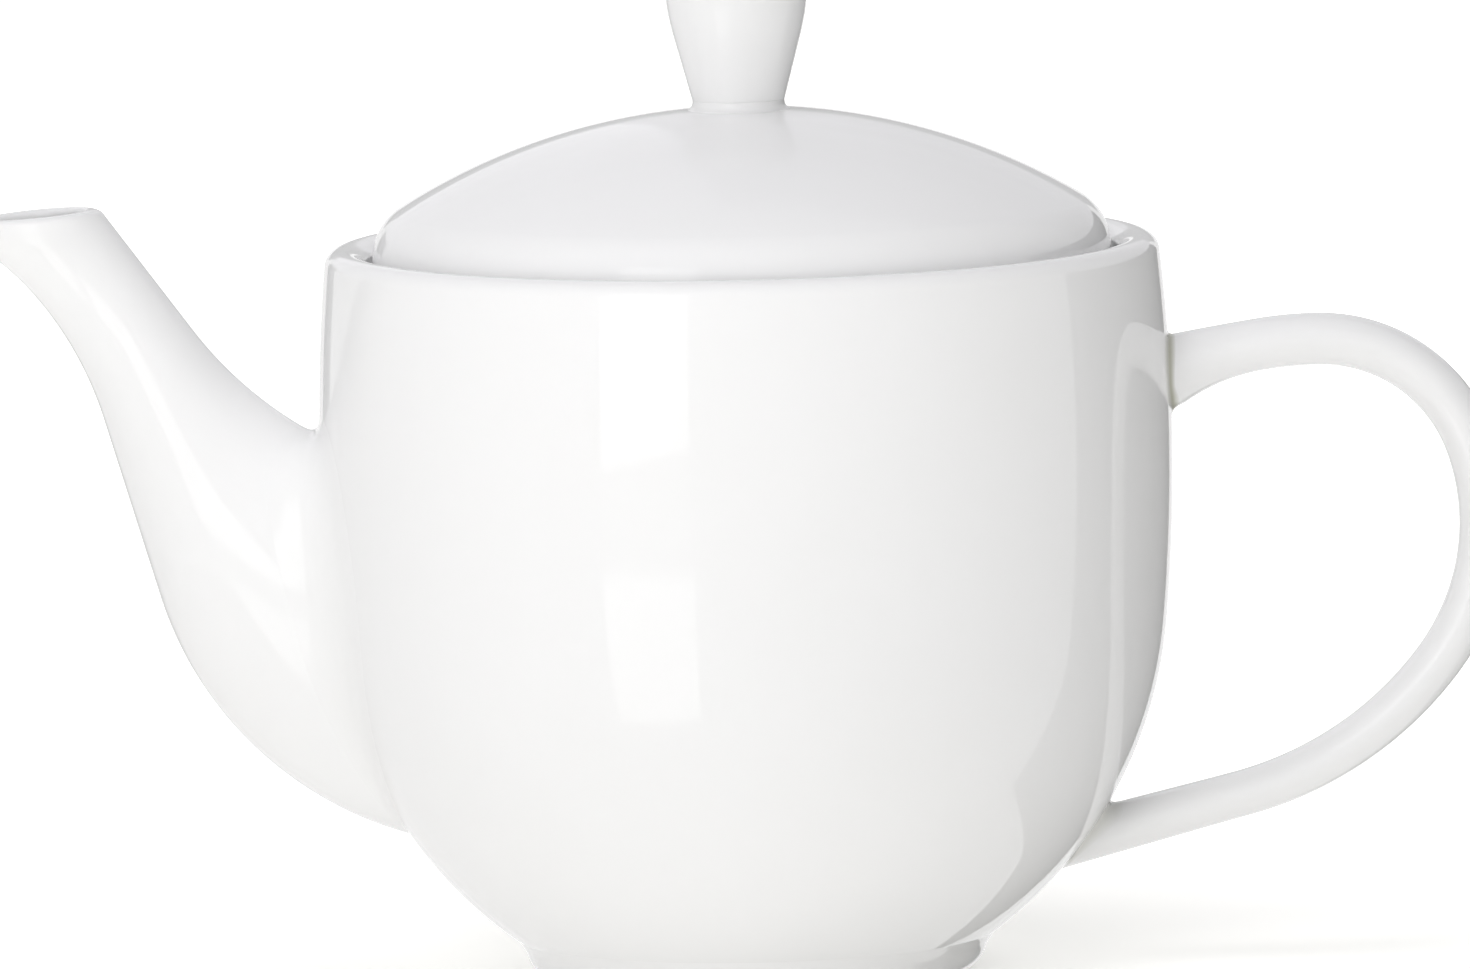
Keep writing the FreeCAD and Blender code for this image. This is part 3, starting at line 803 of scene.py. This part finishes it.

# Handle. A cast oval bar bent like an ear, thicker where it meets the wall, and luted on with slip
# at both roots. The slip is wiped to a small hollow, and glaze gathers in it. Its colour there is
# darkened as painted shade, most at the upper root.
HANDLE_STEPS = 96
HANDLE_TOP = (pot_radius + 23.5, 99.5)
ARM_RADIUS, ARM_TURN = 64.0, 21.8
EAR = [(25.5, 71.6), (37.4, 55.9), (57.6, 38.4)]
TAIL_LENGTH = 50.0
BAR_BEFORE = 14.0
BAR_SKIN_ROWS, BAR_ROWS = 2400, 260
BAR_WIDTH = 11.2
BAR_THICKNESS = [(0.0, 8.3), (0.3, 8.2), (0.55, 7.6), (0.75, 7.2), (1.0, 7.4)]
ROOT_FLARE = np.array([3.2, 2.4])
TAIL_FLARE = np.array([1.2, 2.2])
FLARE_LENGTH = 15.0
UPPER_HOLLOWS = {"above": 1.1, "beside": 1.4, "below": 2.6}
LOWER_HOLLOWS = {"above": 3.4, "beside": 2.4, "below": 1.2}
# Darker tone in the slips' hollows: thicker glaze and painted shade.
UPPER_POOL_AND_SHADE = 1.0
LOWER_POOL_AND_SHADE = 0.35

arcs = [(radius * math.radians(turn), -turn) for radius, turn in ((ARM_RADIUS, ARM_TURN), *EAR)]
arm_turn = math.radians(ARM_TURN)
arm_root = (
    HANDLE_TOP[0] - ARM_RADIUS * math.sin(arm_turn),
    HANDLE_TOP[1] - ARM_RADIUS * (1 - math.cos(arm_turn)),
)
handle_line, handle_length = bent_line(arm_root, ARM_TURN, [*arcs, (TAIL_LENGTH, 0.0)])
bar_at = np.linspace(-BAR_BEFORE, handle_length, BAR_SKIN_ROWS)
middle = handle_line(bar_at)
way = unit(np.gradient(middle, axis=0))
flare = np.clip(1 - bar_at / FLARE_LENGTH, 0, 1)[:, None]
tail = np.clip((bar_at - handle_length + TAIL_LENGTH) / TAIL_LENGTH, 0, 1)[:, None]
thickness = np.interp(bar_at / handle_length, *zip(*BAR_THICKNESS))
size = np.stack([thickness, np.full_like(thickness, BAR_WIDTH)], -1)
size = size + ROOT_FLARE * flare**2 + TAIL_FLARE * tail
angles = np.linspace(0, 2 * math.pi, HANDLE_STEPS, endpoint=False)
outside = size[:, :1] / 2 * np.cos(angles)
bar_skin = np.stack(
    [
        middle[:, :1] - way[:, 1:] * outside,
        size[:, 1:] / 2 * np.sin(angles),
        middle[:, 1:] + way[:, :1] * outside,
    ],
    -1,
)
half_way = BAR_SKIN_ROWS // 2
upper_rows, upper_root = slip_seam(bar_skin[:half_way], hollow_round(angles, UPPER_HOLLOWS))
lower_rows, lower_root = slip_seam(bar_skin[:half_way:-1], hollow_round(angles, LOWER_HOLLOWS))
bar_rows = np.array(between(bar_skin, upper_root, BAR_SKIN_ROWS - 1 - lower_root, BAR_ROWS))
upper_pool_and_shade, lower_pool_and_shade = pooled_and_shaded(upper_rows, UPPER_POOL_AND_SHADE), pooled_and_shaded(lower_rows, LOWER_POOL_AND_SHADE)
handle_bar = woven_mesh("handle_bar", bar_rows, white_glaze, ends_meet=False, caps=True)
upper_slip = woven_mesh("handle_upper_slip", upper_rows, white_glaze, True, upper_pool_and_shade)
lower_slip = woven_mesh("handle_lower_slip", lower_rows, white_glaze, True, lower_pool_and_shade)
for piece, node in (
    (handle_bar, "handle"),
    (upper_slip, "handle_upper_seam"),
    (lower_slip, "handle_lower_seam"),
):
    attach(piece, "pot")
    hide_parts(node)

# Lid. A porcelain crown with a rounded edge that rests on the bowl's ledge, and a steam vent at the
# back. A collar luted under it drops into the neck and keeps the lid from sliding off.
LID_GAP = 0.9
LID_RISE = 21.5
LID_SHOULDER = 9.3
LID_EDGE_HEIGHT = 2.9
LID_EDGE_ROUND = 2.0
LID_THICKNESS = 4.0
COLLAR_GAP = 0.8
COLLAR_THICKNESS = 3.0
COLLAR_DEPTH = 9.0
COLLAR_SOFTNESS = 0.5
VENT_HOLE = 3.2
VENT_OFFSET = 24.0
VENT_DEPTH = 30.0
lid_radius = gallery_radius - LID_GAP
crown_top = pot_height + LID_RISE
edge_top = ledge_height + LID_EDGE_HEIGHT
crown_rise = crown_top - edge_top
shoulder_out = lid_radius - LID_SHOULDER
crown_span = shoulder_out**2 + crown_rise**2 - LID_SHOULDER**2
crown_radius = crown_span / (2 * (crown_rise - LID_SHOULDER))
crown_centre = np.array([0.0, crown_top - crown_radius])
shoulder_way = np.array([shoulder_out, edge_top]) - crown_centre
shoulder_meets = crown_centre + shoulder_way * crown_radius / (crown_radius - LID_SHOULDER)
collar_radius = neck_radius - COLLAR_GAP
collar_inner = collar_radius - COLLAR_THICKNESS
collar_base = ledge_height - COLLAR_DEPTH


def crown_up(out, inset=0.0):
    """Height of the crown, or of its underside, at a distance from the axis."""
    return crown_centre[1] + math.sqrt((crown_radius - inset) ** 2 - out**2)


collar_top = crown_up(collar_radius, LID_THICKNESS)
lid_crown = turned_piece(
    "lid_crown",
    glazed_section(
        [
            (0, crown_top - LID_THICKNESS, LID_THICKNESS - crown_radius),
            (collar_radius, collar_top),
            (collar_radius, ledge_height),
            (lid_radius - LID_EDGE_ROUND, ledge_height, LID_EDGE_ROUND),
            (lid_radius, ledge_height + LID_EDGE_ROUND),
            (lid_radius, edge_top, LID_SHOULDER),
            (*shoulder_meets, crown_radius),
            (0, crown_top),
        ]
    ),
    white_glaze,
)
pierced(
    lid_crown,
    white_glaze,
    hole_radius=VENT_HOLE / 2 * MM,
    depth=VENT_DEPTH * MM,
    half_pitch=VENT_HOLE * MM,
    row_pitch=VENT_HOLE * MM,
    columns=1,
    rows=1,
    aside_first=0.0,
    middle=(0, VENT_OFFSET * MM, crown_top * MM),
    turn=(0, 0, 0),
)
collar_ring = turned_piece(
    "collar_ring",
    glazed_section(
        [
            (collar_inner, collar_base),
            (collar_radius, collar_base),
            (collar_radius, collar_top, crown_radius - LID_THICKNESS),
            (collar_inner, crown_up(collar_inner, LID_THICKNESS)),
        ],
        closed=True,
        softness=COLLAR_SOFTNESS,
    ),
    white_glaze,
)
for piece, node in ((lid_crown, "lid_dome"), (collar_ring, "lid_collar")):
    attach(piece, "lid")
    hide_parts(node)

# Knob. A solid porcelain cone that widens upwards to a rounded top, luted to the crown. The slip at
# its base is wiped to a small hollow.
KNOB_STEPS = 160
KNOB_BASE = 7.0
KNOB_RADIUS = 11.4
KNOB_ANGLE = math.radians(15)
KNOB_SIDE_RADIUS = 30.0
KNOB_CORNER = 4.2
KNOB_CAP_RADIUS = 21.0
KNOB_SLIP_WIDTH, KNOB_SLIP_HEIGHT, KNOB_SLIP_RADIUS = 1.2, 1.6, 1.5
KNOB_SLIP_SINK = 0.02
KNOB_SLIP_SOFTNESS = 0.06
knob_up = crown_up(KNOB_BASE)
cone_top = KNOB_RADIUS - KNOB_SIDE_RADIUS * (1 - math.cos(KNOB_ANGLE))
cone_top_up = knob_up + (cone_top - KNOB_BASE) / math.tan(KNOB_ANGLE)
widest_up = cone_top_up + KNOB_SIDE_RADIUS * math.sin(KNOB_ANGLE)
cap_reach = (KNOB_RADIUS - KNOB_CORNER) / (KNOB_CAP_RADIUS - KNOB_CORNER)
cap_rise = math.sqrt(1 - cap_reach**2)
cap_up = widest_up - (KNOB_CAP_RADIUS - KNOB_CORNER) * cap_rise
cap_edge = (KNOB_CAP_RADIUS * cap_reach, cap_up + KNOB_CAP_RADIUS * cap_rise)
knob = turned_piece(
    "knob",
    glazed_section(
        [
            (0, crown_top, -crown_radius),
            (KNOB_BASE, knob_up),
            (cone_top, cone_top_up, KNOB_SIDE_RADIUS),
            (KNOB_RADIUS, widest_up, KNOB_CORNER),
            (*cap_edge, KNOB_CAP_RADIUS),
            (0, cap_up + KNOB_CAP_RADIUS),
        ]
    ),
    white_glaze,
    around=KNOB_STEPS,
)
slip_edge = KNOB_BASE + KNOB_SLIP_WIDTH
slip_top = KNOB_BASE + KNOB_SLIP_HEIGHT * math.tan(KNOB_ANGLE)
knob_slip = turned_piece(
    "knob_slip",
    glazed_section(
        [
            (KNOB_BASE - SLIP_TUCK, knob_up),
            (slip_edge, crown_up(slip_edge) - KNOB_SLIP_SINK, -KNOB_SLIP_RADIUS),
            (slip_top, knob_up + KNOB_SLIP_HEIGHT),
        ],
        closed=True,
        softness=KNOB_SLIP_SOFTNESS,
    ),
    white_glaze,
    around=KNOB_STEPS,
)
for piece, node in ((knob, "lid_knob"), (knob_slip, "knob_seam")):
    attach(piece, "lid")
    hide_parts(node)

# Table. A plain white sheet that the pot stands on, larger than any view, with no edge or horizon
# in sight. It shows white to the eye and keeps the pot's soft shadow. In its place the glaze
# mirrors the white room. From here on, lengths are in metres.
TABLE_HALF = 30.0
TABLE_WHITE = (0.86, 0.855, 0.825, 1)
TABLE_ROUGHNESS = 0.9
TABLE_GLOW = 0.56
TABLE_LIFT_NEAR, TABLE_LIFT = 0.4, 0.7
LIFT_NEAR, LIFT_FAR = 0.05, 0.4
table_mesh = bpy.data.meshes.new("table")
table_sides = ((-1, -1), (1, -1), (1, 1), (-1, 1))
table_corners = [(x * TABLE_HALF, y * TABLE_HALF, 0) for x, y in table_sides]
table_mesh.from_pydata(table_corners, [], [(0, 1, 2, 3)])
table = bpy.data.objects.new("table", table_mesh)
bpy.context.scene.collection.objects.link(table)
table.visible_glossy = False


def seen_level(tree, strength, seen, otherwise):
    """Sets one strength to the eye, in gloss and through glass, and another one for the light that
    it gives."""
    path = tree.nodes.new("ShaderNodeLightPath")
    direct = path.outputs["Is Camera Ray"]
    for ray in ("Is Glossy Ray", "Is Transmission Ray"):
        direct = worked(tree, "MAXIMUM", direct, path.outputs[ray])
    level = add_node(
        tree, "ShaderNodeMapRange", {"Value": direct, "To Min": otherwise, "To Max": seen}
    )
    tree.links.new(level.outputs["Result"], strength)


table_white = bpy.data.materials.new("table_white")
table_white.use_nodes = True
table_tree = table_white.node_tree
table_shader = table_tree.nodes["Principled BSDF"]
table_shader.inputs["Base Color"].default_value = TABLE_WHITE
table_shader.inputs["Roughness"].default_value = TABLE_ROUGHNESS
table_shader.inputs["Specular IOR Level"].default_value = 0.0
seen_level(table_tree, table_shader.inputs["Emission Strength"], 1.0, TABLE_GLOW)
table_place = table_tree.nodes.new("ShaderNodeTexCoord").outputs["Object"]
from_pot = add_node(table_tree, "ShaderNodeVectorMath", {0: table_place}, operation="LENGTH")
lift = add_node(
    table_tree,
    "ShaderNodeMapRange",
    {
        "Value": from_pot.outputs["Value"],
        "From Min": LIFT_NEAR,
        "From Max": LIFT_FAR,
        "To Min": TABLE_LIFT_NEAR,
        "To Max": TABLE_LIFT,
    },
    interpolation_type="SMOOTHSTEP",
)
table_tree.links.new(lift.outputs["Result"], table_shader.inputs["Emission Color"])
table_mesh.materials.append(table_white)

# Studio light. Soft light from all round, a soft key from the front, and weaker fills from the
# left, above and behind. Bright panels are mirrored in the glaze as two upright windows, and grey
# cards behind the pot draw its edges.
WORLD_LEVEL = 0.31
WHITE = (1.0, 1.0, 1.0)
COOL = (0.975, 0.965, 1.0)
FAINTLY_COOL = (0.985, 0.98, 1.0)
WINDOW_DISTANCE = 0.5
WINDOW_LEFT_LOW, WINDOW_LEFT_HIGH = -36.8, -37.2
WINDOW_RIGHT_LOW, WINDOW_RIGHT_HIGH = -14.3, -13.6
CARD_DISTANCE = 1.2
BACK_WALL_DISTANCE = 1.4
BACK_WALL_LOW, BACK_WALL_HIGH = 0.34, 2.6
world = bpy.data.worlds.new("studio")
world.use_nodes = True
bpy.context.scene.world = world
background = world.node_tree.nodes["Background"]
background.inputs["Color"].default_value = (*WHITE, 1)
seen_level(world.node_tree, background.inputs["Strength"], 1.0, WORLD_LEVEL)


def bearing(azimuth, distance, up):
    """A point at a bearing from the camera's side of the pot: positive to the right, in degrees."""
    turn = math.radians(azimuth)
    return Vector((math.sin(turn) * distance, -math.cos(turn) * distance, up))


def soft_lamp(name, azimuth, distance, up, size, power, tint):
    """A square soft lamp aimed at the pot. The panels give the highlights, so the glaze doesn't
    mirror it."""
    lamp = bpy.data.lights.new(name, "AREA")
    lamp.shape = "SQUARE"
    lamp.size = size
    lamp.energy = power
    lamp.color = tint
    place = bpy.data.objects.new(name, lamp)
    place.location = bearing(azimuth, distance, up)
    aim = Vector((0, 0, pot_height / 2 * MM)) - place.location
    place.rotation_mode = "QUATERNION"
    place.rotation_quaternion = aim.to_track_quat("-Z", "Y")
    place.visible_glossy = False
    place.visible_camera = False
    bpy.context.scene.collection.objects.link(place)


def card(name, corners, strength, tint=WHITE):
    """A flat card that only the glaze sees, of an even brightness."""
    mesh = bpy.data.meshes.new(name)
    mesh.from_pydata(corners, [], [tuple(range(len(corners)))])
    material = bpy.data.materials.new(name)
    material.use_nodes = True
    tree = material.node_tree
    tree.nodes.remove(tree.nodes["Principled BSDF"])
    glow = add_node(tree, "ShaderNodeEmission", {"Color": (*tint, 1), "Strength": strength})
    tree.links.new(glow.outputs[0], tree.nodes["Material Output"].inputs["Surface"])
    mesh.materials.append(material)
    place = bpy.data.objects.new(name, mesh)
    bpy.context.scene.collection.objects.link(place)
    place.visible_camera = False
    place.visible_diffuse = False
    place.visible_shadow = False


def upright_card(name, azimuths, heights, strength):
    """A card on end, between two bearings and two heights."""
    (near, far), (low, high) = azimuths, heights
    corners = ((near, low), (far, low), (far, high), (near, high))
    card(name, [bearing(azimuth, CARD_DISTANCE, up) for azimuth, up in corners], strength)


soft_lamp("key", azimuth=-14, distance=0.95, up=0.25, size=0.6, power=3.4, tint=WHITE)
soft_lamp("side_fill", azimuth=-75, distance=1.6, up=1.6, size=1.2, power=4.5, tint=COOL)
soft_lamp("top_fill", azimuth=-15, distance=0.45, up=1.8, size=1.2, power=11.0, tint=COOL)
soft_lamp("back_fill", azimuth=175, distance=1.3, up=1.0, size=1.2, power=5.0, tint=FAINTLY_COOL)
for name, low, high, strength in (
    ("window_panel", (0.048, 0.062), (0.42, 0.42), 2.2),
    ("window_gap", (-0.015, -0.019), (0.048, 0.062), 1.25),
    ("window_below", (-0.2, -0.2), (-0.015, -0.019), 2.05),
):
    corners = (
        (WINDOW_LEFT_LOW, low[0]),
        (WINDOW_RIGHT_LOW, low[1]),
        (WINDOW_RIGHT_HIGH, high[1]),
        (WINDOW_LEFT_HIGH, high[0]),
    )
    card(name, [bearing(azimuth, WINDOW_DISTANCE, up) for azimuth, up in corners], strength)
upright_card("right_dark", azimuths=(134.5, 161), heights=(-0.9, 0.3), strength=0.22)
upright_card("right_grey", azimuths=(98, 134.5), heights=(-0.9, 0.3), strength=0.22)
upright_card("left_dark", azimuths=(-160, -150), heights=(-0.3, 0.25), strength=0.5)
upright_card("back_grey", azimuths=(-165, 165), heights=(0.17, 0.32), strength=0.55)
for name, left, right, strength in (
    ("back_wall_left", -1.6, -0.1, 1.05),
    ("back_wall_right", -0.1, 1.6, 0.82),
):
    corners = (
        (left, BACK_WALL_DISTANCE, BACK_WALL_LOW),
        (right, BACK_WALL_DISTANCE, BACK_WALL_LOW),
        (right, BACK_WALL_DISTANCE, BACK_WALL_HIGH),
        (left, BACK_WALL_DISTANCE, BACK_WALL_HIGH),
    )
    card(name, corners, strength, FAINTLY_COOL)

# Camera. A long lens far off, a little above the pot, and rolled slightly, as the photograph was
# taken. The picture's middle lies on the pot's axis plane at the aim point.
CAMERA_DISTANCE = 3.2
CAMERA_LENS = 490.0
CAMERA_SENSOR = 36.0
CAMERA_REACH = 100.0
CAMERA_ELEVATION = math.radians(6.2)
CAMERA_ROLL = math.radians(-1.26)
AIM = Vector((-0.0019, 0, 0.0781))
camera_data = bpy.data.cameras.new("camera")
camera_data.lens = CAMERA_LENS
camera_data.sensor_width = CAMERA_SENSOR
camera_data.clip_end = CAMERA_REACH
camera = bpy.data.objects.new("camera", camera_data)
back_way = Vector((0, -math.cos(CAMERA_ELEVATION), math.sin(CAMERA_ELEVATION)))
level_view = (-back_way).to_track_quat("-Z", "Y")
camera.location = AIM + back_way * CAMERA_DISTANCE
camera.rotation_mode = "QUATERNION"
camera.rotation_quaternion = level_view @ Quaternion((0, 0, 1), CAMERA_ROLL)
bpy.context.scene.collection.objects.link(camera)
bpy.context.scene.camera = camera
bpy.context.scene.view_settings.view_transform = "Standard"
